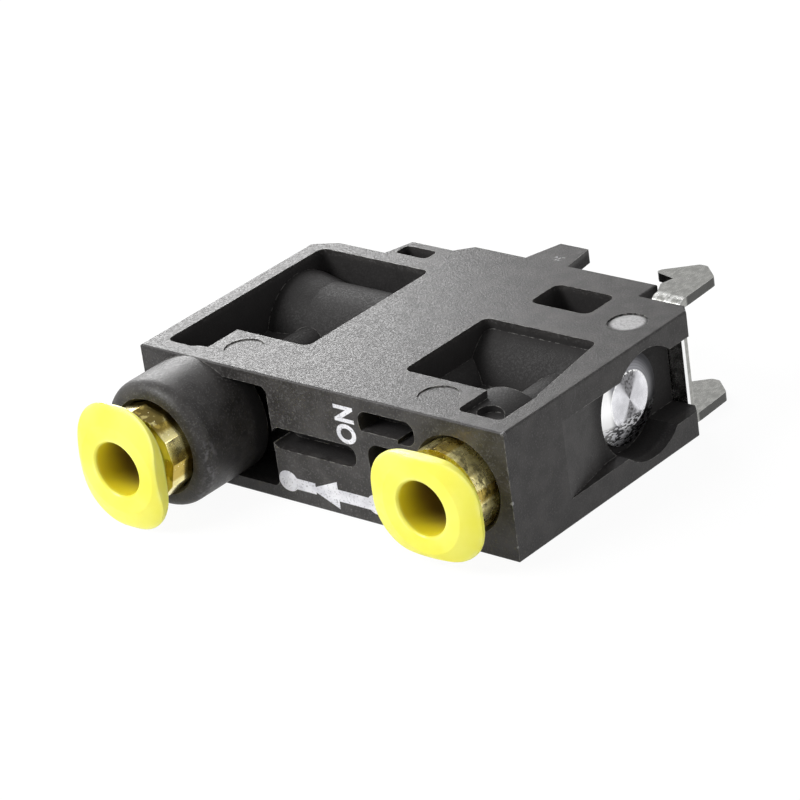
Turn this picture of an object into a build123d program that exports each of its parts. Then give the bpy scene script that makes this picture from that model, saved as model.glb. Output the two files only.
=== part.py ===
from build123d import *
import os

# Clip-on pneumatic valve module, 10 mm thick, for the back of a 22 mm control head.
# X runs along the front with the two tube ports, Y from the ports to the head, Z through
# the thickness. Dimensions are in millimetres, from the front left lower corner of the
# moulded block; the finished pieces are then moved to the centre of their footprint.

# Moulded block
block_width = 34.0
block_thickness = 10.0
mid_z = block_thickness / 2
left_back_y = 20.35
back_y = 24.0
plate_thickness = 1.0
wall = 1.35
edge_r = 0.15
pocket_corner_r = 0.65
web_z = (3.9, 6.1)
pocket_levels = ((-1, web_z[0]), (web_z[1], 11))

# Ports: 4 mm tube, one port on a long boss, one flush with the front
left_port_x = 5.0
left_rim_y = -5.0
left_boss_r = 4.98
right_port_x = 29.2
right_rim_y = 0.0
right_boss_r = 4.4
tube_bore_r = 2.1
sleeve_r = 3.55
sleeve_mouth_r = 3.8
sleeve_lip_r = 2.7
sleeve_inner_r = 3.15
sleeve_proud = 1.75
sleeve_depth = 4.0
seal_seat_depth = 5.4
tube_stop_depth = 6.4
channel_r = 1.25

# Release buttons
button_long = 9.75
button_short = 7.6
button_corner_r = 3.1
button_face = -4.0
button_rim = -3.35
button_back = -2.7
button_neck_r = 2.62
button_end = 1.0
button_travel = 0.7

# Valve bore, along Y, and the cross bore that feeds it, along X
stem_x = 19.5
bore_r = 2.5
bore_front_y = 3.4
bush_y = 22.8
bush_r = 3.0
stem_travel = 3.5
cross_y = 15.9
supply_y = 14.4
outlet_y = 17.4
vent_y = 20.0

# Plunger
seal_ys = (11.4, 15.8, 22.0)
seal_width = 1.5
seal_r = 2.44
neck_r = 1.2
plunger_r = 1.9
plunger_tip_y = 26.0

# Cross bore plug
plug_r = 3.5
plug_inner_x = 29.7
plug_shoulder_x = 31.85
plug_face_x = 32.25
plug_face_r = 2.1
counterbore_r = 4.2
counterbore_x = 31.3

# Latch clip, bent from 0.7 mm spring steel
sheet = 0.7
latch_y = 22.0
latch_bend_r = 0.9
latch_travel = 1.5
tongue_x = 23.9
tongue_z = (4.4, 5.6)
window = (22.4, 27.8, 17.7, 21.1)

# Footprint of the whole module, whose centre is the origin
front_y = left_rim_y + button_face
hook_tip_y = 28.15
place = Location((-block_width / 2, -(front_y + hook_tip_y) / 2, 0))


def slab(points, z0, z1):
    """Closed outline in plan, raised from z0 to z1."""
    return Pos(0, 0, z0) * extrude(make_face(Polyline(*points, close=True)), z1 - z0)


def box(x0, x1, y0, y1, z0, z1):
    centre = Pos((x0 + x1) / 2, (y0 + y1) / 2, (z0 + z1) / 2)
    return centre * Box(x1 - x0, y1 - y0, z1 - z0)


def pocket(x0, x1, y0, y1, z0, z1, r):
    """Pocket with rounded upright corners."""
    shape = RectangleRounded(x1 - x0, y1 - y0, r)
    return Pos((x0 + x1) / 2, (y0 + y1) / 2, z0) * extrude(shape, z1 - z0)


def rod_y(x, y0, y1, r, z=mid_z):
    """Round bar along Y from y0 to y1."""
    return Pos(x, (y0 + y1) / 2, z) * Rot(X=90) * Cylinder(r, y1 - y0)


def rod_x(y, x0, x1, r, z=mid_z):
    """Round bar along X from x0 to x1."""
    return Pos((x0 + x1) / 2, y, z) * Rot(Y=90) * Cylinder(r, x1 - x0)


def rod_z(x, y, z0, z1, r):
    """Round bar along Z from z0 to z1."""
    return Pos(x, y, (z0 + z1) / 2) * Cylinder(r, z1 - z0)


def front_slot(x0, x1, z0, z1, depth, r):
    """Rounded slot sunk into the front face."""
    shape = RectangleRounded(x1 - x0, z1 - z0, r)
    sketch = Plane.XZ * Pos((x0 + x1) / 2, (z0 + z1) / 2) * shape
    return extrude(sketch, -depth)


def turned_y(points, x):
    """Piece turned about the Y axis at x, from (radius, y) points."""
    profile = make_face(Polyline(*points, close=True))
    return Pos(x, 0, mid_z) * revolve(profile, Axis.Y)


def turned_x(points, y):
    """Piece turned about the X axis at y, from (x, radius) points."""
    profile = make_face(Polyline(*points, close=True))
    return Pos(0, y, mid_z) * revolve(profile, Axis.X)


def ring_y(x, y0, y1, inner_r, outer_r):
    """Plain ring about the Y axis, from y0 to y1."""
    return rod_y(x, y0, y1, outer_r) - rod_y(x, y0 - 1, y1 + 1, inner_r)


def coil(pitch, turns, mean_r, wire_r):
    """Compression spring along +Z from the origin, its wire within the stated length."""
    path = Helix(pitch, pitch * turns, mean_r)
    start = Plane(path @ 0, z_dir=path % 0)
    return sweep(start * RegularPolygon(wire_r * 1.2, 4), path, is_frenet=True)


def write(name, shape):
    shape = shape.solids()[0] if len(shape.solids()) == 1 else shape
    export_step(place * shape, f"parts/{name}.step")


os.makedirs("parts", exist_ok=True)

# Block outline: straight front, stepped back, and the notch for the latch at the right
outline = [
    (0, 0),
    (block_width, 0),
    (block_width, 21.15),
    (33.3, 21.9),
    (29.35, 21.9),
    (29.35, back_y),
    (12.4, back_y),
    (11.0, 22.6),
    (11.0, left_back_y),
    (2.0, left_back_y),
    (0, 19.3),
]
body = slab(outline, 0, block_thickness)
rims = body.edges().filter_by(Plane.XY)
body = fillet(rims, edge_r)

# Left pocket, sunk from both plates to a web on the middle plane, with the outlet elbow
# left standing in it
left_x1 = 12.0
body -= front_slot(5.9, 12.1, plate_thickness, 9.0, 4.2, 0.6)
for z0, z1 in pocket_levels:
    body -= pocket(wall, left_x1, 5.0, 19.0, z0, z1, pocket_corner_r)
    body -= pocket(wall, 5.15, 1.4, 6.5, z0, z1, pocket_corner_r)
body += rod_y(left_port_x, left_rim_y, 1.8, left_boss_r)
body += rod_y(left_port_x, 0, cross_y, 1.8)
elbow_outline = [(1.0, 0), (1.0, 4.15), (2.0, 4.15), (4.2, 3.7), (left_x1 + 0.5, 3.7), (left_x1 + 0.5, 0)]
body += turned_x(elbow_outline, cross_y)

# Right pocket, with the supply elbow and the side of the valve bore standing in it, and
# an ejector pin's recess on the port
right_pocket = [(21.1, 4.9), (32.6, 4.9), (31.2, 14.3), (21.1, 14.3)]
for z0, z1 in pocket_levels:
    right_cut = slab(right_pocket, z0, z1)
    right_cut = fillet(right_cut.edges().filter_by(Axis.Z), pocket_corner_r)
    body -= right_cut
    body -= pocket(28.7, 32.6, 1.5, 6.0, z0, z1, 0.5)
body += rod_y(right_port_x, 0, 6.8, right_boss_r)
body += rod_y(right_port_x, 6.0, cross_y, 2.9)
body += rod_y(stem_x, bore_front_y, 14.5, 3.1)
body += rod_x(cross_y, 20.5, 31.5, 4.5)
for z0, z1 in ((-1, 1.15), (8.85, 11)):
    body -= rod_z(30.2, 3.3, z0, z1, 0.95)

# Window over the latch spring
body -= pocket(*window, -1, 11, 0.7)

# Back: lashing loops, fixed hook and locating tongues, upper and lower alike
loop = [(6.5, 20.0), (7.3, 22.7), (11.2, 22.7), (11.2, 20.0)]
tongue = [(17.3, 23.5), (17.3, 24.0), (18.2, 27.0), (20.8, 27.0), (21.2, 24.0), (21.2, 23.5)]
hook = [
    (8.2, 20.0),
    (7.9, 26.6),
    (8.8, hook_tip_y),
    (9.3, hook_tip_y),
    (11.05, 26.2),
    (11.05, 25.8),
    (9.7, 25.4),
    (9.4, 24.0),
    (9.9, 22.0),
    (9.9, 20.0),
]
for z0, z1 in ((0, 1.1), (block_thickness - 1.1, block_thickness)):
    plate = slab(loop, z0, z1)
    plate -= pocket(7.3, 10.3, left_back_y + 0.25, 22.0, z0 - 1, z1 + 1, 0.4)
    body += plate
    body += slab(tongue, z0, z1)
body += slab(hook, 2.5, 7.5)

# Front: lightening slots beside the ports
body -= front_slot(12.0, 20.0, 4.2, 5.9, 2.1, 0.8)
upper_slot = front_slot(20.7, 25.8, 7.1, 9.0, 2.1, 0.8)
upper_slot -= box(20.0, 24.2, -1, 3, 7.0, 7.4)
body -= upper_slot
body -= front_slot(21.2, 24.4, 3.4, 6.5, 2.1, 1.0) - rod_y(right_port_x, -1, 3, 4.6)

# Right side: hand-hold waist, plug counterbore and the opening towards the latch
waist = [(34.5, 5.7), (34.0, 6.2), (32.9, 11.7), (32.9, 16.0), (34.5, 16.0)]
body -= slab(waist, 2.0, 8.0)
body -= rod_x(cross_y, counterbore_x, 35.0, counterbore_r)
body -= box(counterbore_x, 35.0, cross_y, 23.0, 2.0, 8.0)

# Latch slideway: closed channel for the tongue, open to the spring window
slide_z0 = tongue_z[0] - 0.1
slide_z1 = tongue_z[1] + 0.1
body -= box(tongue_x - 0.1, 30.0, latch_y - 0.1, latch_y + sheet + 0.1, slide_z0, slide_z1)
body -= box(tongue_x - 0.1, 29.35, 19.45, latch_y, slide_z0, slide_z1)

# Moulding marks: shallow round prints left by the ejector pins
for x, y in ((7.75, 2.85), (26.0, 2.8), (31.2, 17.9)):
    for z in (0, block_thickness):
        body -= rod_z(x, y, z - 0.08, z + 0.08, 1.5)

# Bores: ports, air channels, valve bore and cross bore
for x, rim in ((left_port_x, left_rim_y), (right_port_x, right_rim_y)):
    seat = [
        (0, rim - 0.5),
        (sleeve_mouth_r, rim - 0.5),
        (sleeve_mouth_r, rim),
        (sleeve_r, rim + 0.35),
        (sleeve_r, rim + sleeve_depth),
        (sleeve_inner_r, rim + sleeve_depth),
        (sleeve_inner_r, rim + seal_seat_depth),
        (tube_bore_r, rim + seal_seat_depth),
        (tube_bore_r, rim + tube_stop_depth),
        (channel_r, rim + tube_stop_depth),
        (channel_r, cross_y),
        (0, cross_y),
    ]
    body -= turned_y(seat, x)
body -= rod_x(outlet_y, left_port_x, stem_x, 0.7)
body -= rod_y(left_port_x, cross_y - 0.1, outlet_y, 0.7)
body -= rod_x(cross_y, plug_inner_x - 0.1, 35.0, plug_r)
body -= rod_x(cross_y, 28.2, plug_inner_x, 2.6)
body -= rod_x(supply_y, stem_x, 28.4, 0.8)
body -= rod_x(vent_y, stem_x, 22.6, 0.6)
body -= rod_y(stem_x, bore_front_y, bush_y, bore_r)
body -= rod_y(stem_x, bush_y, back_y + 1, bush_r)

# Boss end rounding
rim_edges = body.edges().filter_by(GeomType.CIRCLE).filter_by(
    lambda e: abs(e.center().Y - left_rim_y) < 0.01 and abs(e.radius - left_boss_r) < 0.01
)
body = fillet(rim_edges, 1.05)
write("valve_body", body)

# Port cartridges: brass sleeve, grab ring, support ring, tube seal and release button
for side, x, rim in (("left", left_port_x, left_rim_y), ("right", right_port_x, right_rim_y)):
    sleeve = turned_y(
        [
            (sleeve_lip_r, rim - sleeve_proud),
            (sleeve_r - 0.1, rim - sleeve_proud),
            (sleeve_r, rim - sleeve_proud + 0.1),
            (sleeve_r, rim + sleeve_depth),
            (sleeve_inner_r, rim + sleeve_depth),
            (sleeve_inner_r, rim),
            (sleeve_lip_r, rim - 0.3),
        ],
        x,
    )
    write(f"port_sleeve_{side}", sleeve)

    # Coned spring washer cut into teeth that bite the tube
    grab = turned_y(
        [
            (3.08, rim + 1.9),
            (3.08, rim + 2.1),
            (1.9, rim + 2.6),
            (1.9, rim + 2.4),
        ],
        x,
    )
    for angle in range(0, 360, 60):
        slit = Pos(x, rim + 2.2, mid_z) * Rot(Y=angle) * Pos(2.1, 0, 0) * Box(1.2, 1.4, 0.3)
        grab -= slit
    write(f"grab_ring_{side}", grab)

    support = turned_y(
        [
            (3.08, rim + 2.1),
            (3.08, rim + 3.95),
            (2.15, rim + 3.95),
            (2.15, rim + 2.65),
        ],
        x,
    )
    write(f"support_ring_{side}", support)

    # Lip seal that grips the tube
    tube_seal = turned_y(
        [
            (3.09, rim + 4.05),
            (3.09, rim + 5.35),
            (1.91, rim + 5.35),
            (2.4, rim + 4.05),
        ],
        x,
    )
    write(f"tube_seal_{side}", tube_seal)

    # The button: crowned oval flange, coned back, neck with a catch lip
    button_profile = [
        (tube_bore_r + 0.15, rim + button_face),
        (tube_bore_r + 1.3, rim + button_face),
        (5.1, rim + button_rim),
        (5.1, rim + button_rim + 0.15),
        (button_neck_r, rim + button_back + 0.2),
        (button_neck_r, rim - 0.05),
        (sleeve_inner_r - 0.15, rim + 0.3),
        (button_neck_r, rim + button_end),
        (tube_bore_r, rim + button_end),
        (tube_bore_r, rim + button_face + 0.15),
    ]
    button = turned_y(button_profile, x)
    long_x = side == "right"
    size_x = button_long if long_x else button_short
    size_z = button_short if long_x else button_long
    outline_plane = Plane.XZ * Pos(x, mid_z) * RectangleRounded(size_x, size_z, button_corner_r)
    button &= Pos(0, rim + button_face - 1, 0) * extrude(outline_plane, -10)
    write(f"release_button_{side}", button)

# Cross bore plug with its ring seal
plug = turned_x(
    [
        (plug_inner_x, 0),
        (plug_inner_x, plug_r - 0.6),
        (plug_inner_x + 0.7, plug_r - 0.6),
        (plug_inner_x + 0.7, plug_r),
        (plug_shoulder_x, plug_r),
        (plug_face_x, plug_face_r),
        (plug_face_x, 0),
    ],
    cross_y,
)
write("cross_bore_plug", plug)
plug_seal = rod_x(cross_y, plug_inner_x, plug_inner_x + 0.69, plug_r - 0.01)
plug_seal -= rod_x(cross_y, plug_inner_x - 1, plug_inner_x + 1, plug_r - 0.6)
write("plug_seal", plug_seal)

# Spool: slim stem with a spring seat in front, and three seals moulded on to it
spool_front_y = 9.6
spool_back_y = 24.6
spool_profile = [
    (0, spool_front_y),
    (2.2, spool_front_y),
    (2.2, spool_front_y + 0.8),
    (neck_r, spool_front_y + 0.8),
    (neck_r, spool_back_y),
    (0, spool_back_y),
]
write("spool", turned_y(spool_profile, stem_x))
for label, y in zip(("front", "middle", "rear"), seal_ys):
    seal = ring_y(stem_x, y - seal_width / 2, y + seal_width / 2, neck_r, seal_r)
    write(f"spool_seal_{label}", seal)

# Plunger cap pushed over the spool's tail, domed where the head presses it
cap = turned_y(
    [
        (0, 24.6),
        (neck_r, 24.6),
        (neck_r, 22.75),
        (plunger_r, 22.75),
        (plunger_r, plunger_tip_y - 0.5),
        (plunger_r - 0.35, plunger_tip_y - 0.1),
        (1.0, plunger_tip_y),
        (0, plunger_tip_y),
    ],
    stem_x,
)
write("plunger_cap", cap)

# Guide bush, and the wiper ring behind it at the mouth of the bore
write("guide_bush", ring_y(stem_x, bush_y, back_y - 0.5, plunger_r + 0.05, bush_r))
write("stem_wiper", ring_y(stem_x, back_y - 0.5, back_y, plunger_r + 0.05, bush_r))

# Return spring between the block's front wall and the spool
wire_r = 0.22
spring_length = spool_front_y - bore_front_y - 2 * wire_r - 0.1
return_spring = coil(spring_length / 4.0, 4.0, 1.85, wire_r)
spring_place = Pos(stem_x, bore_front_y + wire_r + 0.05, mid_z) * Rot(X=-90)
write("return_spring", spring_place * return_spring)

# Latch clip: channel section with hooked flanges, slide tongue and bent lug
channel = box(23.0, 34.0, latch_y, 29.0, 0, block_thickness)
front_bends = channel.edges().filter_by(Axis.X).group_by(Axis.Y)[0]
channel = fillet(front_bends, latch_bend_r)
inside = box(22.0, 35.0, latch_y + sheet, 30.0, sheet, block_thickness - sheet)
inner_bends = inside.edges().filter_by(Axis.X).group_by(Axis.Y)[0]
channel -= fillet(inner_bends, latch_bend_r - sheet)
flange = [
    (30.1, latch_y - 0.5),
    (30.1, 23.0),
    (29.5, 24.2),
    (29.8, 25.35),
    (28.2, 25.7),
    (27.95, 25.95),
    (28.1, 26.3),
    (30.2, hook_tip_y),
    (30.9, hook_tip_y),
    (32.45, 26.8),
    (32.6, 23.5),
    (32.6, latch_y - 0.5),
]
flange_cut = slab(flange, -1, 11)
tips = flange_cut.edges().filter_by(Axis.Z).filter_by(lambda e: e.center().Y > 26.5)
latch = channel & fillet(tips, 0.45)
latch += box(tongue_x, 30.5, latch_y, latch_y + sheet, *tongue_z)
latch += box(tongue_x, tongue_x + sheet, 19.55, latch_y + sheet, *tongue_z)
write("latch_clip", latch)

# Latch spring between the clip's lug and the window's wall
latch_wire_r = 0.16
latch_length = window[1] - tongue_x - sheet - 2 * latch_wire_r - 0.1
latch_spring = coil(latch_length / 3.25, 3.25, 1.1, latch_wire_r)
latch_place = Pos(tongue_x + sheet + latch_wire_r + 0.05, 19.75, mid_z) * Rot(Y=90)
write("latch_spring", latch_place * latch_spring)
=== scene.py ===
import bpy
import bmesh
from math import cos, pi, radians, sin
from mathutils import Matrix, Vector


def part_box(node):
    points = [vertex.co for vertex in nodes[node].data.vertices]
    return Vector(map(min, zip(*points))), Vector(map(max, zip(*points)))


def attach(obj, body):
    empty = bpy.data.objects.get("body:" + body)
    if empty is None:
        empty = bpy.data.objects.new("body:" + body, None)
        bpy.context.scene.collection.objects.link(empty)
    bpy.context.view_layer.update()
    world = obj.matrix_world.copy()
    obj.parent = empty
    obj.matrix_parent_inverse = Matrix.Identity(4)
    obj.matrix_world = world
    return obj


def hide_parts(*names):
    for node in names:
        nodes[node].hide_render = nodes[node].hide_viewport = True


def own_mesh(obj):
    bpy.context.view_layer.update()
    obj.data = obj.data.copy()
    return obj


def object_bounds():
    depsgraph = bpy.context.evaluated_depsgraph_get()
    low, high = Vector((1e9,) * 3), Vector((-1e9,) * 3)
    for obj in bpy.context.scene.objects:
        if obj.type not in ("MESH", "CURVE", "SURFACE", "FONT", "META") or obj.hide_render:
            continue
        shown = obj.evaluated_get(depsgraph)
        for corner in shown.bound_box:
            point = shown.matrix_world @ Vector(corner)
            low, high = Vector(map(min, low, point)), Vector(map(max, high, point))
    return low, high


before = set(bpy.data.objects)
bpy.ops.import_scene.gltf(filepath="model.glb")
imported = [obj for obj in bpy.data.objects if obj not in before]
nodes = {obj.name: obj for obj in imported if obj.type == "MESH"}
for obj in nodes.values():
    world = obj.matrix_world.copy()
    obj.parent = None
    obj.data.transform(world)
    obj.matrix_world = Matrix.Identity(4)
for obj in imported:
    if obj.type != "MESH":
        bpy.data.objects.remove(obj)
cad_low, cad_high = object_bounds()
bpy.ops.object.select_all(action="DESELECT")

# Studio floor: a sheet of pale paper under the valve. The camera, the metal and clear plastic
# see it as white, and it keeps the valve's soft shadow.
mm = 0.001
paper_side = 2.0
paper_drop = 0.02 * mm
paper_colour = (0.9, 0.9, 0.9, 1)
white = (1, 1, 1, 1)
white_strength = 1.03
white_share = 0.92


def feed(tree, value, socket):
    """Gives a socket its value, from another socket or as a plain number or colour."""
    if isinstance(value, bpy.types.NodeSocket):
        tree.links.new(value, socket)
    else:
        socket.default_value = value


def work_out(tree, operation, *values):
    """Math node fed with sockets or plain numbers."""
    node = tree.nodes.new("ShaderNodeMath")
    node.operation = operation
    for slot, value in enumerate(values):
        feed(tree, value, node.inputs[slot])
    return node.outputs[0]


def background_share(tree):
    """1 for the rays that see the background: those of the camera, of shine and of clear plastic."""
    rays = tree.nodes.new("ShaderNodeLightPath").outputs
    share = work_out(tree, "MAXIMUM", rays["Is Camera Ray"], rays["Is Glossy Ray"])
    return work_out(tree, "MAXIMUM", share, rays["Is Transmission Ray"])


bpy.ops.mesh.primitive_plane_add(size=paper_side, location=(0, 0, -paper_drop))
floor = bpy.context.object
floor.name = "studio_floor"
floor_mat = bpy.data.materials.new("studio_paper")
floor_mat.use_nodes = True
floor_tree = floor_mat.node_tree
floor_tree.nodes.clear()
floor_out = floor_tree.nodes.new("ShaderNodeOutputMaterial")
floor_mix = floor_tree.nodes.new("ShaderNodeMixShader")
floor_paper = floor_tree.nodes.new("ShaderNodeBsdfDiffuse")
floor_paper.inputs["Color"].default_value = paper_colour
floor_glow = floor_tree.nodes.new("ShaderNodeEmission")
floor_glow.inputs["Color"].default_value = white
floor_glow.inputs["Strength"].default_value = white_strength
floor_share = work_out(floor_tree, "MULTIPLY", background_share(floor_tree), white_share)
floor_tree.links.new(floor_share, floor_mix.inputs["Fac"])
floor_tree.links.new(floor_paper.outputs[0], floor_mix.inputs[1])
floor_tree.links.new(floor_glow.outputs[0], floor_mix.inputs[2])
floor_tree.links.new(floor_mix.outputs[0], floor_out.inputs["Surface"])
floor.data.materials.append(floor_mat)

# Studio air: a low even light from all round, and white behind the valve for the camera, the
# metal and clear plastic.
air_strength = 0.3
background_strength = 1.0
world = bpy.data.worlds.new("studio_air")
bpy.context.scene.world = world
world.use_nodes = True
world_tree = world.node_tree
world_tree.nodes.clear()
world_out = world_tree.nodes.new("ShaderNodeOutputWorld")
world_shade = world_tree.nodes.new("ShaderNodeBackground")
world_level = world_tree.nodes.new("ShaderNodeMapRange")
world_level.inputs["To Min"].default_value = air_strength
world_level.inputs["To Max"].default_value = background_strength
world_tree.links.new(background_share(world_tree), world_level.inputs["Value"])
world_tree.links.new(world_level.outputs[0], world_shade.inputs["Strength"])
world_tree.links.new(world_shade.outputs[0], world_out.inputs["Surface"])

# Three soft panels: a small one close behind the left corner that skims the top face, one
# over the buttons, and a narrow one at the right for the plug and the clip.
valve_middle = Vector((0, 0, 5 * mm))


def soft_panel(name, place, size, watts):
    light = bpy.data.lights.new(name, "AREA")
    light.shape = "RECTANGLE"
    light.size, light.size_y = size
    light.energy = watts
    lamp = bpy.data.objects.new(name, light)
    bpy.context.scene.collection.objects.link(lamp)
    lamp.location = place
    lamp.rotation_euler = (valve_middle - Vector(place)).to_track_quat("-Z", "Y").to_euler()


soft_panel("back_panel", place=(-0.090, 0.052, 0.053), size=(0.07, 0.05), watts=0.115)
soft_panel("front_panel", place=(-0.16, -0.26, 0.26), size=(0.20, 0.16), watts=1.5)
soft_panel("right_panel", place=(0.34, 0.10, 0.12), size=(0.08, 0.20), watts=0.15)

# Camera: the photograph's viewing angle, with the slight tilt of its frame. Its focal length
# and the centre of its picture are in pixels of the photograph.
azimuth, elevation, roll = radians(43.324), radians(25.259), radians(-8.25)
target = Vector((-0.002, 0.000375, 0.005))
distance = 0.286497
image_px = 800
focal_px, centre_px = 3932.865, (391.928, 388.284)
sensor_width = 36.0
back = Vector((sin(azimuth) * cos(elevation), -cos(azimuth) * cos(elevation), sin(elevation)))
right = (-back).cross(Vector((0, 0, 1))).normalized()
up = right.cross(-back)
camera_x = right * cos(roll) + up * sin(roll)
camera_y = -right * sin(roll) + up * cos(roll)
camera_data = bpy.data.cameras.new("camera")
camera_data.sensor_width = sensor_width
camera_data.lens = focal_px / image_px * sensor_width
camera_data.shift_x = (image_px / 2 - centre_px[0]) / image_px
camera_data.shift_y = (centre_px[1] - image_px / 2) / image_px
camera_data.clip_start = 0.01
camera = bpy.data.objects.new("camera", camera_data)
bpy.context.scene.collection.objects.link(camera)
turn = Matrix((camera_x, camera_y, back)).transposed().to_4x4()
camera.matrix_world = Matrix.Translation(target + back * distance) @ turn
bpy.context.scene.camera = camera
bpy.context.scene.view_settings.view_transform = "Standard"

# Block: one moulding of black glass-filled nylon, matt, with glass specks, a few scratches and
# rubbed edges that also carry a painted highlight, and painted shade in its pockets, slots and window.
# The zero of the drawing, from which every place below is read, is the foot of its front left corner;
# the right sleeve ends 4 mm behind that front face.
sleeve_depth = 4 * mm
corner = Vector((cad_low[0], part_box("port_sleeve_right")[1][1] - sleeve_depth, 0))


def at(x, y, z):
    """A place on the drawing, in millimetres, as a place in the scene."""
    return corner + Vector((x, y, z)) * mm


def times(tree, first, *others):
    """Product of masks and plain numbers."""
    product = first
    for value in others:
        product = work_out(tree, "MULTIPLY", product, value)
    return product


def ramp(tree, value, low, high, start=0.0, end=1.0):
    """Value from low to high mapped to start to end, clamped and smooth."""
    node = tree.nodes.new("ShaderNodeMapRange")
    node.interpolation_type = "SMOOTHSTEP"
    for label, number in (("From Min", low), ("From Max", high), ("To Min", start), ("To Max", end)):
        node.inputs[label].default_value = number
    tree.links.new(value, node.inputs["Value"])
    return node.outputs[0]


def all_of(tree, *limits):
    """Mask where every value is past its limit, each given with where the mask starts and is whole."""
    return times(tree, *[ramp(tree, value, start, whole) for value, start, whole in limits])


def object_place(tree, scale=(1, 1, 1)):
    """Object coordinates, stretched by scale."""
    place = tree.nodes.new("ShaderNodeTexCoord")
    mapping = tree.nodes.new("ShaderNodeMapping")
    mapping.inputs["Scale"].default_value = scale
    tree.links.new(place.outputs["Object"], mapping.inputs["Vector"])
    return mapping.outputs[0]


def split_place(tree):
    """X, Y and Z of the object coordinates."""
    place = tree.nodes.new("ShaderNodeTexCoord")
    parts = tree.nodes.new("ShaderNodeSeparateXYZ")
    tree.links.new(place.outputs["Object"], parts.inputs[0])
    return parts.outputs


def noise(tree, place, scale, detail=3.0):
    node = tree.nodes.new("ShaderNodeTexNoise")
    node.inputs["Detail"].default_value = detail
    tree.links.new(place, node.inputs["Vector"])
    feed(tree, scale, node.inputs["Scale"])
    return node.outputs["Fac"]


def new_group(name, inputs, outputs):
    """Empty node group with number inputs, given with their defaults, and number outputs."""
    group = bpy.data.node_groups.new(name, "ShaderNodeTree")
    for label, value in inputs:
        socket = group.interface.new_socket(label, in_out="INPUT", socket_type="NodeSocketFloat")
        socket.default_value = value
    for label in outputs:
        group.interface.new_socket(label, in_out="OUTPUT", socket_type="NodeSocketFloat")
    return group, group.nodes.new("NodeGroupInput"), group.nodes.new("NodeGroupOutput")


def grain_group():
    """Grain of a moulded or rolled surface: a slow tone, a fine height, specks and scratches."""
    inputs = (("Scale", 2500.0), ("Speck Share", 0.04), ("Scratch Width", 0.004))
    group, given, put = new_group("surface_grain", inputs, ("Tone", "Height", "Specks", "Scratches"))
    place = object_place(group)
    scale = given.outputs["Scale"]
    # Each layer's scale is a share of the grain's own
    tone = noise(group, place, times(group, scale, 0.22), 4.0)
    height = noise(group, place, times(group, scale, 2.2), 2.0)
    # Specks: the hearts of a few cells, picked by the cell's own random colour
    speck_radius = 0.32
    cells = group.nodes.new("ShaderNodeTexVoronoi")
    group.links.new(place, cells.inputs["Vector"])
    group.links.new(times(group, scale, 2.8), cells.inputs["Scale"])
    pick = group.nodes.new("ShaderNodeSeparateColor")
    group.links.new(cells.outputs["Color"], pick.inputs["Color"])
    chosen = work_out(group, "LESS_THAN", pick.outputs[0], given.outputs["Speck Share"])
    near = work_out(group, "LESS_THAN", cells.outputs["Distance"], speck_radius)
    # Scratches: one contour of a slow noise that is drawn out along Y, kept in patches only
    contour = 0.52
    line = noise(group, object_place(group, (1.0, 0.35, 1.0)), times(group, scale, 0.07), 1.0)
    off = work_out(group, "ABSOLUTE", work_out(group, "SUBTRACT", line, contour))
    hair = work_out(group, "LESS_THAN", off, given.outputs["Scratch Width"])
    patches = ramp(group, noise(group, place, times(group, scale, 0.16), 2.0), 0.6, 0.66)
    group.links.new(tone, put.inputs["Tone"])
    group.links.new(height, put.inputs["Height"])
    group.links.new(times(group, chosen, near), put.inputs["Specks"])
    group.links.new(times(group, hair, patches), put.inputs["Scratches"])
    return group


def edge_group():
    """Mask of the narrow stretch beside sharp edges, broken up as rubbing breaks it; it carries both
    edge wear and a painted edge highlight.
    """
    inputs = (("Radius", 0.12 * mm), ("Break Scale", 1800.0))
    group, given, put = new_group("edge_wear_and_glint", inputs, ("Mask",))
    rounded = group.nodes.new("ShaderNodeBevel")
    rounded.samples = 6
    group.links.new(given.outputs["Radius"], rounded.inputs["Radius"])
    flat = group.nodes.new("ShaderNodeNewGeometry")
    likeness = group.nodes.new("ShaderNodeVectorMath")
    likeness.operation = "DOT_PRODUCT"
    group.links.new(rounded.outputs[0], likeness.inputs[0])
    group.links.new(flat.outputs["Normal"], likeness.inputs[1])
    turned = ramp(group, work_out(group, "SUBTRACT", 1.0, likeness.outputs["Value"]), 0.02, 0.16)
    patchy = noise(group, object_place(group), given.outputs["Break Scale"], 3.0)
    broken = ramp(group, patchy, 0.4, 0.62)
    group.links.new(times(group, turned, broken), put.inputs["Mask"])
    return group


surface_grain = grain_group()
edge_wear_and_glint = edge_group()


def new_material(name, **settings):
    """Material with a Principled shader, whose even settings are given by their labels."""
    mat = bpy.data.materials.new(name)
    mat.use_nodes = True
    shader = mat.node_tree.nodes["Principled BSDF"]
    for label, value in settings.items():
        shader.inputs[label.replace("_", " ").title().replace("Ior", "IOR")].default_value = value
    return mat, mat.node_tree, shader


def use_group(tree, group, **values):
    node = tree.nodes.new("ShaderNodeGroup")
    node.node_tree = group
    for label, value in values.items():
        node.inputs[label.replace("_", " ").title()].default_value = value
    return node.outputs


def blend_colour(tree, share, first, second):
    """Mix of two colours, each a socket or three numbers, by a mask."""
    node = tree.nodes.new("ShaderNodeMix")
    node.data_type = "RGBA"
    tree.links.new(share, node.inputs["Factor"])
    for label, colour in (("A", first), ("B", second)):
        socket = [s for s in node.inputs if s.name == label and s.type == "RGBA"][0]
        feed(tree, (*colour, 1) if isinstance(colour, tuple) else colour, socket)
    return [s for s in node.outputs if s.type == "RGBA"][0]


def coat(tree, under, mask, cover, over):
    """Colour laid over another through a mask, cover being its greatest share."""
    return blend_colour(tree, times(tree, mask, cover), under, over)


def raise_bump(tree, shader, height, strength, depth):
    bump = tree.nodes.new("ShaderNodeBump")
    bump.inputs["Strength"].default_value = strength
    bump.inputs["Distance"].default_value = depth
    tree.links.new(height, bump.inputs["Height"])
    tree.links.new(bump.outputs[0], shader.inputs["Normal"])


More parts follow.
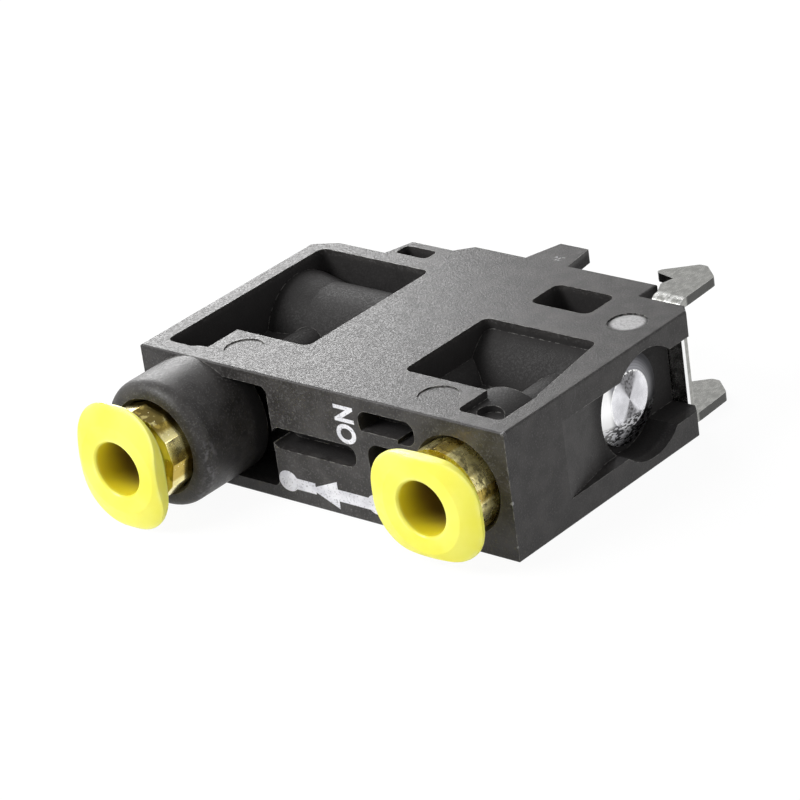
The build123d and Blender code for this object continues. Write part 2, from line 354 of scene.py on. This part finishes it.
def finish_material(tree, shader, colour, rough):
    tree.links.new(colour, shader.inputs["Base Color"])
    tree.links.new(rough, shader.inputs["Roughness"])


def spot(tree, centre, inner, outer):
    """Mask that is 1 within inner of a place and 0 past outer."""
    place = tree.nodes.new("ShaderNodeTexCoord")
    reach = tree.nodes.new("ShaderNodeVectorMath")
    reach.operation = "DISTANCE"
    reach.inputs[1].default_value = centre
    tree.links.new(place.outputs["Object"], reach.inputs[0])
    return ramp(tree, reach.outputs["Value"], inner, outer, 1.0, 0.0)


def recess_shade_mask(tree):
    """Mask of what lies inside the block's outer faces: pockets, slots and window, where painted shade
    goes.
    """
    x, y, z = split_place(tree)
    return all_of(
        tree,
        (x, at(0.3, 0, 0).x, at(0.8, 0, 0).x),
        (x, at(33.3, 0, 0).x, at(32.9, 0, 0).x),
        (y, at(0, 0.2, 0).y, at(0, 0.9, 0).y),
        (z, 0.1 * mm, 0.6 * mm),
        (z, 9.9 * mm, 9.4 * mm),
    )


def lip_scuffs_and_highlight(tree, colour, patchy):
    """Pale patches on the lip of the long boss, on the side away from the block's front: partly
    scuffs, partly a painted highlight along its fillet.
    """
    x, y, z = split_place(tree)
    scuff_and_highlight = all_of(
        tree,
        (patchy, 0.44, 0.62),
        (x, at(7.0, 0, 0).x, at(8.6, 0, 0).x),
        (z, 6.6 * mm, 5.0 * mm),
        (y, at(0, -4.9, 0).y, at(0, -4.5, 0).y),
        (y, at(0, -3.5, 0).y, at(0, -4.1, 0).y),
    )
    # Scuffs and painted highlight, laid on together.
    return coat(tree, colour, scuff_and_highlight, 0.7, (0.17, 0.165, 0.175))


def ejector_disc(tree, colour, patchy):
    """Pale rough print of an ejector pin on the top face, with a broken dark ring round it."""
    pitted = ramp(tree, noise(tree, object_place(tree), 6500.0, 2.0), 0.3, 0.6, 0.65)
    face = times(tree, spot(tree, at(31.15, 18.0, 10), 1.05 * mm, 1.4 * mm), pitted)
    colour = coat(tree, colour, face, 0.9, (0.5, 0.495, 0.5))
    centre = at(31.2, 17.9, 10)
    within = spot(tree, centre, 1.5 * mm, 1.62 * mm)
    core = spot(tree, centre, 1.3 * mm, 1.42 * mm)
    ring = work_out(tree, "SUBTRACT", within, core)
    return coat(tree, colour, ring, ramp(tree, patchy, 0.42, 0.54), (0.004, 0.004, 0.004))


def chipped_spots(tree, colour, patchy):
    """Pale chips on corners and edges, each a place on the drawing and a radius, in millimetres."""
    chips = (
        ((34, 0, 4.6), 0.22),
        ((33.95, 0.05, 10), 0.28),
        ((34, 0, 1.2), 0.14),
        ((33.9, 21.3, 9.9), 0.22),
        ((19.7, 24.8, 10), 0.55),
    )
    solid_share = 0.55
    chipped, *others = [spot(tree, at(*place), solid_share * r * mm, r * mm) for place, r in chips]
    for chip in others:
        chipped = work_out(tree, "MAXIMUM", chipped, chip)
    chipped = times(tree, chipped, ramp(tree, patchy, 0.47, 0.56))
    return coat(tree, colour, chipped, 0.8, (0.42, 0.42, 0.43))


def nylon_material():
    mat, tree, shader = new_material("black_glass_nylon", ior=1.5, specular_ior_level=0.34)
    grain = use_group(tree, surface_grain, scale=3200.0, speck_share=0.004, scratch_width=0.002)
    edge_wear_glint = use_group(tree, edge_wear_and_glint, radius=0.13 * mm, break_scale=2200.0)
    inside = recess_shade_mask(tree)
    patchy = noise(tree, object_place(tree), 2600.0, 4.0)
    mottle = ramp(tree, grain["Tone"], 0.35, 0.68)
    colour = blend_colour(tree, mottle, (0.025, 0.023, 0.0225), (0.046, 0.043, 0.042))
    colour = coat(tree, colour, ramp(tree, grain["Height"], 0.52, 0.68), 0.6, (0.1, 0.097, 0.096))
    colour = coat(tree, colour, grain["Specks"], 1.0, (0.15, 0.15, 0.15))
    colour = coat(tree, colour, grain["Scratches"], 0.25, (0.13, 0.125, 0.125))
    # Painted shade: pockets, slots and window painted near black, where shade falls.
    colour = coat(tree, colour, inside, 0.8, (0.012, 0.011, 0.011))
    # Pale broken edges: partly rubbed wear, partly a painted highlight along the edges.
    colour = coat(tree, colour, edge_wear_glint["Mask"], 0.85, (0.27, 0.265, 0.25))
    colour = lip_scuffs_and_highlight(tree, colour, patchy)
    colour = ejector_disc(tree, colour, patchy)
    colour = chipped_spots(tree, colour, patchy)
    rough = ramp(tree, grain["Height"], 0.3, 0.7, 0.38, 0.6)
    rough = work_out(tree, "ADD", rough, times(tree, inside, 0.25))
    finish_material(tree, shader, colour, rough)
    raise_bump(tree, shader, grain["Height"], strength=0.65, depth=0.03 * mm)
    return mat


def dress(mat, *names):
    """Gives CAD nodes a material."""
    for name in names:
        slots = nodes[name].data.materials
        if len(slots):
            slots[0] = mat
        else:
            slots.append(mat)


dress(nylon_material(), "valve_body")


# Print on the front face: the word ON up the face and a flow arrow along its foot, in worn
# grey-white ink, pad-printed on the moulding. Places are in millimetres on the drawing.
ink_rise = 0.012
ink_layer = 0.004
letter_weight = 0.038


def ink_material():
    mat, tree, shader = new_material("grey_white_ink", specular_ior_level=0.3)
    grain = use_group(tree, surface_grain, scale=3000.0, speck_share=0.0, scratch_width=0.012)
    pits = ramp(tree, grain["Height"], 0.56, 0.7, 0.0, 0.6)
    worn = work_out(tree, "MAXIMUM", pits, times(tree, grain["Scratches"], 0.7))
    mottle = ramp(tree, grain["Tone"], 0.35, 0.65)
    colour = blend_colour(tree, mottle, (0.62, 0.62, 0.67), (0.84, 0.84, 0.88))
    colour = blend_colour(tree, worn, colour, (0.2, 0.19, 0.21))
    finish_material(tree, shader, colour, ramp(tree, grain["Height"], 0.3, 0.7, 0.5, 0.75))
    return mat


def pick_only(piece):
    bpy.ops.object.select_all(action="DESELECT")
    piece.select_set(True)
    bpy.context.view_layer.objects.active = piece


def face_front(piece, turn_deg, low_x, high_x, low_z, high_z):
    """Stands a flat shape up on the front face, turned, and fits it between two corners."""
    pick_only(piece)
    bpy.ops.object.transform_apply(location=True, rotation=True, scale=True)
    spun = [Matrix.Rotation(radians(turn_deg), 3, "Z") @ v.co for v in piece.data.vertices]
    xs, ys = [p.x for p in spun], [p.y for p in spun]
    for vertex, p in zip(piece.data.vertices, spun):
        u = (p.x - min(xs)) / (max(xs) - min(xs))
        v = (p.y - min(ys)) / (max(ys) - min(ys))
        vertex.co = at(low_x + u * (high_x - low_x), -ink_rise, low_z + v * (high_z - low_z))


def print_letter(letter, *limits):
    bpy.ops.object.text_add()
    piece = bpy.context.object
    piece.data.body = letter
    piece.data.offset = letter_weight
    bpy.ops.object.convert(target="MESH")
    face_front(piece, 90, *limits)
    return piece


def print_disc(sides, turn_deg, *limits):
    bpy.ops.mesh.primitive_circle_add(vertices=sides, radius=1.0, fill_type="NGON")
    piece = bpy.context.object
    face_front(piece, turn_deg, *limits)
    return piece


def print_bar(*limits):
    bpy.ops.mesh.primitive_plane_add(size=1.0)
    piece = bpy.context.object
    face_front(piece, 0, *limits)
    return piece


def finish_print(name, parts):
    """One piece from the printed shapes, each a hair in front of the one before."""
    bpy.ops.object.select_all(action="DESELECT")
    for layer, part in enumerate(parts):
        for vertex in part.data.vertices:
            vertex.co.y -= layer * ink_layer * mm
        part.select_set(True)
    bpy.context.view_layer.objects.active = parts[0]
    bpy.ops.object.join()
    piece = bpy.context.object
    piece.name = name
    piece.data.materials.clear()
    piece.data.materials.append(ink)
    mesh = bmesh.new()
    mesh.from_mesh(piece.data)
    for face in mesh.faces:
        if face.normal.y > 0:
            face.normal_flip()
    mesh.to_mesh(piece.data)
    mesh.free()
    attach(piece, "housing")


ink = ink_material()
finish_print("print_on", [
    print_letter("O", 18.5, 20.3, 6.05, 7.6),
    print_letter("N", 18.5, 20.3, 7.75, 9.05),
])
finish_print("print_arrow", [
    print_disc(32, 0, 12.1, 13.95, 0.85, 2.5),
    print_bar(13.6, 15.6, 1.15, 2.05),
    print_disc(3, 90, 15.1, 17.75, 0.45, 2.65),
    print_bar(17.4, 21.2, 1.1, 2.05),
    print_disc(32, 0, 20.5, 22.1, 0.85, 2.4),
])


# Tube grips inside the ports: toothed spring-steel ring, acetal support ring and rubber lip
# seal, dropped into each port and held there by the sleeve.
def plain_moulding(name, grain_scale, specks, colours, rough, bump, **settings):
    """Even plastic or rubber: colours and rough are each a low and a high end."""
    mat, tree, shader = new_material(name, **settings)
    grain = use_group(tree, surface_grain, scale=grain_scale, speck_share=specks, scratch_width=0.004)
    colour = blend_colour(tree, ramp(tree, grain["Tone"], 0.3, 0.7), *colours)
    finish_material(tree, shader, colour, ramp(tree, grain["Height"], 0.3, 0.7, *rough))
    raise_bump(tree, shader, grain["Height"], strength=bump, depth=0.02 * mm)
    return mat


def steel_material(name, colours, rough, stretch, marks=None):
    """Drawn, turned or rolled steel; marks paints what only one piece has."""
    mat, tree, shader = new_material(name, metallic=1.0)
    grain = use_group(tree, surface_grain, scale=2400.0, speck_share=0.03, scratch_width=0.006)
    edge_wear_glint = use_group(tree, edge_wear_and_glint, radius=0.1 * mm, break_scale=1500.0)
    brush = noise(tree, object_place(tree, stretch), 1500.0, 3.0)
    colour = blend_colour(tree, ramp(tree, brush, 0.3, 0.7), *colours)
    colour = coat(tree, colour, ramp(tree, grain["Tone"], 0.5, 0.75), 0.35, (0.36, 0.35, 0.34))
    colour = coat(tree, colour, grain["Specks"], 0.5, (0.28, 0.27, 0.26))
    # Bright broken edges: partly rubbed wear, partly a painted glint along the edges.
    colour = coat(tree, colour, edge_wear_glint["Mask"], 0.6, (0.9, 0.9, 0.89))
    if marks:
        colour = marks(tree, colour)
    finish_material(tree, shader, colour, ramp(tree, brush, 0.3, 0.7, *rough))
    height = work_out(tree, "ADD", times(tree, brush, 0.5), times(tree, grain["Height"], 0.5))
    raise_bump(tree, shader, height, strength=0.12, depth=0.03 * mm)
    return mat


natural_acetal = plain_moulding(
    "natural_acetal", grain_scale=1500.0, specks=0.01,
    colours=((0.74, 0.72, 0.67), (0.83, 0.81, 0.77)), rough=(0.35, 0.5), bump=0.15,
    subsurface_weight=0.15, subsurface_scale=0.8 * mm,
)
rubber = plain_moulding(
    "nitrile_rubber", grain_scale=2200.0, specks=0.02,
    colours=((0.018, 0.018, 0.019), (0.032, 0.032, 0.033)), rough=(0.45, 0.65), bump=0.2,
)
spring_steel = steel_material(
    "spring_steel", colours=((0.5, 0.5, 0.49), (0.66, 0.66, 0.64)), rough=(0.25, 0.4),
    stretch=(1, 1, 1),
)
dress(spring_steel, "grab_ring_left", "grab_ring_right")
dress(natural_acetal, "support_ring_left", "support_ring_right")
dress(rubber, "tube_seal_left", "tube_seal_right")


# Port sleeves: short brass tubes pressed into the ports, which hold the tube grips. The left
# one is burnished in flats, the right one has the crinkled skin of a rolled knurl.
sleeve_wall = 0.38 * mm
sleeve_edge = 0.06 * mm
knurl_size = 0.45 * mm
knurl_depth = 0.12 * mm
# The lip inside the front end, which stops the button
lip_wall = 0.53 * mm
lip_step = 0.3 * mm
lip_length = 1.3 * mm
lip_middle = 0.7 * mm


def brass_material(name, crinkle):
    """Brass with broad bright and dark stretches painted as reflections, darker in patches towards the
    top; crinkle from 0 to 1.
    """
    mat, tree, shader = new_material(name, metallic=1.0)
    grain = use_group(tree, surface_grain, scale=2600.0, speck_share=0.05, scratch_width=0.01)
    painted_reflection_bands = noise(tree, object_place(tree, (1.0, 0.12, 1.0)), 620.0, 2.0)
    mottle = noise(tree, object_place(tree), 1900.0, 4.0)
    # Painted reflection: broad bright and dark bands round the sleeve.
    colour = blend_colour(tree, ramp(tree, painted_reflection_bands, 0.4, 0.52), (0.56, 0.42, 0.1), (0.98, 0.88, 0.42))
    stains = ramp(tree, mottle, 0.5, 0.66)
    colour = coat(tree, colour, stains, 0.12 + 0.35 * crinkle, (0.24, 0.18, 0.04))
    z = split_place(tree)[2]
    # Darker in patches towards the top.
    top_darkening = times(tree, ramp(tree, z, 6.6 * mm, 7.8 * mm), ramp(tree, mottle, 0.36, 0.5, 0.4, 0.95))
    colour = coat(tree, colour, top_darkening, 1.0 - 0.85 * crinkle, (0.14, 0.1, 0.02))
    colour = coat(tree, colour, grain["Specks"], 1.0, (0.95, 0.88, 0.6))
    finish_material(tree, shader, colour, ramp(tree, mottle, 0.3, 0.7, 0.14, 0.26 + 0.2 * crinkle))
    height = work_out(tree, "ADD", times(tree, mottle, 0.1 + crinkle), times(tree, painted_reflection_bands, 0.4))
    raise_bump(tree, shader, height, strength=0.25 + 0.45 * crinkle, depth=0.06 * mm)
    return mat


def apply_modifier(piece, kind, **settings):
    modifier = piece.modifiers.new(kind.lower(), kind)
    for label, value in settings.items():
        setattr(modifier, label, value)
    bpy.ops.object.modifier_apply(modifier=modifier.name)


def open_tube(sides, radius, length, middle):
    """Thin tube along Y with open ends, its place in its mesh."""
    bpy.ops.mesh.primitive_cylinder_add(
        vertices=sides, radius=radius, depth=length, end_fill_type="NOTHING",
        location=middle, rotation=(pi / 2, 0, 0),
    )
    bpy.ops.object.transform_apply(location=True, rotation=True, scale=True)
    return bpy.context.object


def crinkle_skin(tube):
    bpy.ops.object.mode_set(mode="EDIT")
    bpy.ops.mesh.select_all(action="SELECT")
    bpy.ops.mesh.subdivide(number_cuts=5)
    bpy.ops.object.mode_set(mode="OBJECT")
    skin = bpy.data.textures.new("knurl_skin", "CLOUDS")
    skin.noise_scale = knurl_size
    apply_modifier(tube, "DISPLACE", texture=skin, strength=knurl_depth, mid_level=1.0,
                   texture_coords="LOCAL")


def brass_sleeve(side, sides, crinkle):
    """Tube of the sleeve's own length and bore, with the lip that stops the button."""
    node = f"port_sleeve_{side}"
    low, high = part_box(node)
    axis_x, axis_z = (low[0] + high[0]) / 2, (low[2] + high[2]) / 2
    outer_r = (high[0] - low[0]) / 2
    tube = open_tube(sides, outer_r, high[1] - low[1], (axis_x, (low[1] + high[1]) / 2, axis_z))
    tube.name = f"brass_sleeve_{side}"
    if crinkle:
        crinkle_skin(tube)
    apply_modifier(tube, "SOLIDIFY", thickness=sleeve_wall, offset=-1.0)
    apply_modifier(tube, "BEVEL", width=sleeve_edge, segments=2, limit_method="ANGLE",
                   angle_limit=radians(12))
    lip = open_tube(48, outer_r - lip_step, lip_length, (axis_x, low[1] + lip_middle, axis_z))
    apply_modifier(lip, "SOLIDIFY", thickness=lip_wall, offset=-1.0)
    tube.select_set(True)
    bpy.context.view_layer.objects.active = tube
    bpy.ops.object.join()
    bpy.ops.object.shade_smooth_by_angle(angle=radians(20))
    tube.data.materials.append(brass_material(f"brass_{side}", crinkle))
    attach(tube, "housing")
    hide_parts(node)


brass_sleeve("left", sides=12, crinkle=0.0)
brass_sleeve("right", sides=64, crinkle=1.0)


# Release buttons: lemon acetal mouldings, slightly see-through, with a crowned flange whose
# rim is softly rounded. Each slides in its sleeve, and pushing it in frees the tube.
button_edge = 0.16 * mm
doubles_gap = 0.002 * mm


def from_axis(tree, across, upward):
    """Squared distance from an axis, out of the two distances across it."""
    return work_out(tree, "ADD", times(tree, across, across), times(tree, upward, upward))


def acetal_material(name, axis, face_y):
    """Lemon acetal, with a painted highlight on its rounded rims and painted shade darkening down the
    bore behind face_y.
    """
    mat, tree, shader = new_material(
        name, subsurface_weight=0.3, subsurface_scale=0.9 * mm,
        subsurface_radius=(1.0, 0.85, 0.2), ior=1.48,
    )
    grain = use_group(tree, surface_grain, scale=1400.0, speck_share=0.01, scratch_width=0.002)
    rim = use_group(tree, edge_wear_and_glint, radius=0.7 * mm, break_scale=300.0)
    mottle = ramp(tree, grain["Tone"], 0.3, 0.7)
    colour = blend_colour(tree, mottle, (0.9, 0.85, 0.07), (0.95, 0.91, 0.14))
    # Painted highlight: the rounded rims painted pale, like a lit see-through edge.
    colour = coat(tree, colour, rim["Mask"], 0.75, (0.96, 0.95, 0.5))
    x, y, z = split_place(tree)
    across = work_out(tree, "SUBTRACT", x, axis.x)
    upward = work_out(tree, "SUBTRACT", z, axis.z)
    reach = work_out(tree, "SQRT", from_axis(tree, across, upward))
    in_bore = ramp(tree, reach, 2.15 * mm, 2.3 * mm, 1.0, 0.0)
    bore_mouth_shade = ramp(tree, y, face_y, face_y + 0.5 * mm, 0.0, 0.8)
    bore_depth_shade = ramp(tree, y, face_y + 0.2 * mm, face_y + 3.2 * mm)
    # Painted shade: the bore turns deeper yellow and then brown further in behind the face.
    colour = coat(tree, colour, in_bore, bore_mouth_shade, (0.82, 0.68, 0.01))
    colour = coat(tree, colour, in_bore, bore_depth_shade, (0.24, 0.16, 0.03))
    finish_material(tree, shader, colour, ramp(tree, grain["Height"], 0.3, 0.7, 0.3, 0.42))
    raise_bump(tree, shader, grain["Tone"], strength=0.12, depth=0.12 * mm)
    return mat


def release_button(side):
    """Copy of the button with its doubles merged and its edges rounded."""
    node = f"release_button_{side}"
    low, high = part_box(node)
    piece = nodes[node].copy()
    piece.data = nodes[node].data.copy()
    piece.name = f"acetal_button_{side}"
    bpy.context.scene.collection.objects.link(piece)
    piece.parent = None
    piece.matrix_world = Matrix.Identity(4)
    pick_only(piece)
    bpy.ops.object.mode_set(mode="EDIT")
    bpy.ops.mesh.select_all(action="SELECT")
    bpy.ops.mesh.remove_doubles(threshold=doubles_gap)
    bpy.ops.mesh.dissolve_limited(angle_limit=radians(1.0))
    bpy.ops.object.mode_set(mode="OBJECT")
    apply_modifier(piece, "BEVEL", width=button_edge, segments=4, limit_method="ANGLE",
                   angle_limit=radians(11), use_clamp_overlap=True)
    bpy.ops.object.shade_smooth_by_angle(angle=radians(40))
    axis = Vector(((low[0] + high[0]) / 2, 0, (low[2] + high[2]) / 2))
    piece.data.materials.clear()
    piece.data.materials.append(acetal_material(f"lemon_acetal_{side}", axis, low[1]))
    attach(piece, f"button_{side}")
    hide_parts(node)


release_button("left")
release_button("right")


# Plug of the cross bore: turned bright alloy, faced on the lathe, with its shine drawn along the fine
# rings and a painted reflection in two bright fans on its face. It is pressed in, with a rubber ring
# behind its shoulder.
face_radius = 2.12 * mm
ring_pitch = 0.2 * mm


def plug_material():
    mat, tree, shader = new_material("turned_alloy", metallic=1.0, anisotropic=0.85)
    tangent = tree.nodes.new("ShaderNodeTangent")
    tangent.direction_type = "RADIAL"
    tangent.axis = "X"
    tree.links.new(tangent.outputs[0], shader.inputs["Tangent"])
    low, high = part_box("cross_bore_plug")
    axis = Vector((0, (low[1] + high[1]) / 2, (low[2] + high[2]) / 2))
    grain = use_group(tree, surface_grain, scale=2000.0, speck_share=0.02, scratch_width=0.006)
    y, z = split_place(tree)[1:3]
    across = work_out(tree, "SUBTRACT", y, axis.y)
    upward = work_out(tree, "SUBTRACT", z, axis.z)
    reach_squared = from_axis(tree, across, upward)
    reach = work_out(tree, "SQRT", reach_squared)
    # Face: painted reflection, bright to the sides and dark above and below, in two fans
    steepness = work_out(tree, "DIVIDE", times(tree, upward, upward), reach_squared)
    streaks = ramp(tree, grain["Height"], 0.3, 0.6, 1.0, 0.7)
    painted_fans = times(tree, ramp(tree, steepness, 0.55, 0.92), streaks)
    mottle = ramp(tree, grain["Tone"], 0.4, 0.65)
    face = blend_colour(tree, mottle, (0.62, 0.62, 0.65), (0.88, 0.88, 0.92))
    face = coat(tree, face, painted_fans, 1.0, (0.06, 0.058, 0.06))
    # Cone behind the face: grey turned rings, with painted shade darkening towards its back and a
    # painted highlight crescent on the side towards the block's front
    rings = work_out(tree, "SINE", times(tree, reach, 2 * pi / ring_pitch))
    cone_shade = ramp(tree, reach, 2.2 * mm, 3.3 * mm)
    cone = blend_colour(tree, cone_shade, (0.28, 0.28, 0.3), (0.05, 0.05, 0.055))
    cone = coat(tree, cone, ramp(tree, rings, 0.2, 1.0), 0.3, (0.04, 0.04, 0.045))
    cone = coat(tree, cone, ramp(tree, across, -1.7 * mm, -2.3 * mm), 1.0, (0.95, 0.95, 0.95))
    colour = blend_colour(tree, ramp(tree, reach, face_radius, 2.2 * mm), face, cone)
    # Painted highlight as a bright broken line at the face's rim, and torn metal near its lower edge
    lip = all_of(
        tree,
        (reach, 2.0 * mm, 2.08 * mm),
        (reach, 2.2 * mm, face_radius),
        (grain["Height"], 0.42, 0.5),
    )
    colour = coat(tree, colour, lip, 1.0, (0.95, 0.95, 0.95))
    torn = ramp(tree, upward, -1.1 * mm, -1.6 * mm)
    tear = ramp(tree, noise(tree, object_place(tree, (1.0, 0.6, 1.6)), 3600.0, 1.0), 0.47, 0.53)
    torn_colour = blend_colour(tree, tear, (0.025, 0.024, 0.023), (0.7, 0.7, 0.72))
    colour = coat(tree, colour, torn, 0.8, torn_colour)
    finish_material(tree, shader, colour, ramp(tree, reach, 2.05 * mm, 2.2 * mm, 0.27, 0.4))
    height = work_out(tree, "ADD", times(tree, rings, 0.15), times(tree, tear, torn))
    raise_bump(tree, shader, height, strength=0.25, depth=0.03 * mm)
    return mat


dress(plug_material(), "cross_bore_plug")
dress(rubber, "plug_seal")


# Springs: round drawn wire wound into coils. The return spring stands in front of the spool
# and the latch spring lies in the small window.
steps_per_turn = 40
wire_sides = 12


def coil_spring(name, node, along, turns, wire_r):
    """Coil that fills the box of its CAD node, wound along X or Y."""
    low, high = (Vector(end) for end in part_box(node))
    axis = Vector((1, 0, 0)) if along == "X" else Vector((0, 1, 0))
    length = (high - low).dot(axis)
    middle = (low + high) / 2
    outer_r = (high.z - low.z) / 2
    bpy.ops.mesh.primitive_circle_add(
        vertices=wire_sides, radius=wire_r, location=(outer_r - wire_r, 0, 0),
        rotation=(pi / 2, 0, 0),
    )
    wire = bpy.context.object
    wire.name = name
    bpy.ops.object.transform_apply(location=True, rotation=True, scale=True)
    steps = int(turns * steps_per_turn)
    apply_modifier(wire, "SCREW", axis="Z", angle=2 * pi * turns, screw_offset=length - 2 * wire_r,
                   steps=steps, render_steps=steps, use_smooth_shade=True)
    bpy.ops.object.mode_set(mode="EDIT")
    bpy.ops.mesh.select_all(action="DESELECT")
    bpy.ops.mesh.select_non_manifold()
    bpy.ops.mesh.edge_face_add()
    bpy.ops.mesh.select_all(action="SELECT")
    bpy.ops.mesh.normals_make_consistent(inside=False)
    bpy.ops.object.mode_set(mode="OBJECT")
    wire.rotation_euler = (0, pi / 2, 0) if along == "X" else (-pi / 2, 0, 0)
    wire.location = middle - axis * (length / 2 - wire_r)
    bpy.ops.object.transform_apply(location=True, rotation=True, scale=True)
    wire.data.materials.append(spring_steel)
    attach(wire, "housing")
    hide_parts(node)
    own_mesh(wire)


coil_spring("return_coil", "return_spring", along="Y", turns=4.5,
            wire_r=0.2 * mm)
coil_spring("latch_coil", "latch_spring", along="X", turns=4.0,
            wire_r=0.16 * mm)


# Spool of turned metal with its three moulded-on seals, and the acetal plunger cap that the
# head presses. They run in the valve bore, through the fixed brass bush and its wiper ring.
stem_metal = steel_material(
    "turned_stem", colours=((0.6, 0.6, 0.61), (0.74, 0.74, 0.75)), rough=(0.22, 0.36),
    stretch=(1.0, 6.0, 1.0),
)
dress(stem_metal, "spool")
dress(rubber, "spool_seal_front", "spool_seal_middle", "spool_seal_rear", "stem_wiper")
dress(natural_acetal, "plunger_cap")
dress(brass_material("turned_brass", 0.2), "guide_bush")


# Latch clip: 0.7 mm spring strip, folded into a channel with two hooks, and a tongue that
# runs into the block. The bend carries a crinkled painted highlight, the rest is satin.
web_y = at(0, 22, 0).y


def clip_marks_and_highlights(tree, colour):
    """Crinkled folds with a painted highlight, dark sheared edges on the hooks, and a painted
    highlight line along the web.
    """
    y = split_place(tree)[1]
    flat = tree.nodes.new("ShaderNodeNewGeometry")
    facing = tree.nodes.new("ShaderNodeSeparateXYZ")
    tree.links.new(flat.outputs["True Normal"], facing.inputs[0])
    sideways = work_out(tree, "ABSOLUTE", facing.outputs["X"])
    level = work_out(tree, "ABSOLUTE", facing.outputs["Z"])
    fold_highlight = all_of(tree, (y, web_y + 1.35 * mm, web_y + 0.8 * mm), (sideways, 0.8, 0.5))
    crinkle = ramp(tree, noise(tree, object_place(tree), 1300.0, 2.0), 0.42, 0.6)
    # Painted highlight on the folds, broken up by crinkle.
    colour = coat(tree, colour, fold_highlight, crinkle, (0.78, 0.78, 0.76))
    sheared = all_of(tree, (level, 0.4, 0.2), (y, web_y + 0.95 * mm, web_y + 1.25 * mm))
    colour = coat(tree, colour, sheared, 0.9, (0.05, 0.05, 0.048))
    # Painted highlight: a thin bright line along the web.
    line = all_of(tree, (sideways, 0.8, 0.95), (y, web_y + 0.36 * mm, web_y + 0.28 * mm))
    return coat(tree, colour, line, 1.0, (0.95, 0.95, 0.95))


clip_steel = steel_material(
    "rolled_strip", colours=((0.28, 0.28, 0.265), (0.38, 0.38, 0.36)), rough=(0.22, 0.3),
    stretch=(2.0, 1.0, 2.0), marks=clip_marks_and_highlights,
)
dress(clip_steel, "latch_clip")
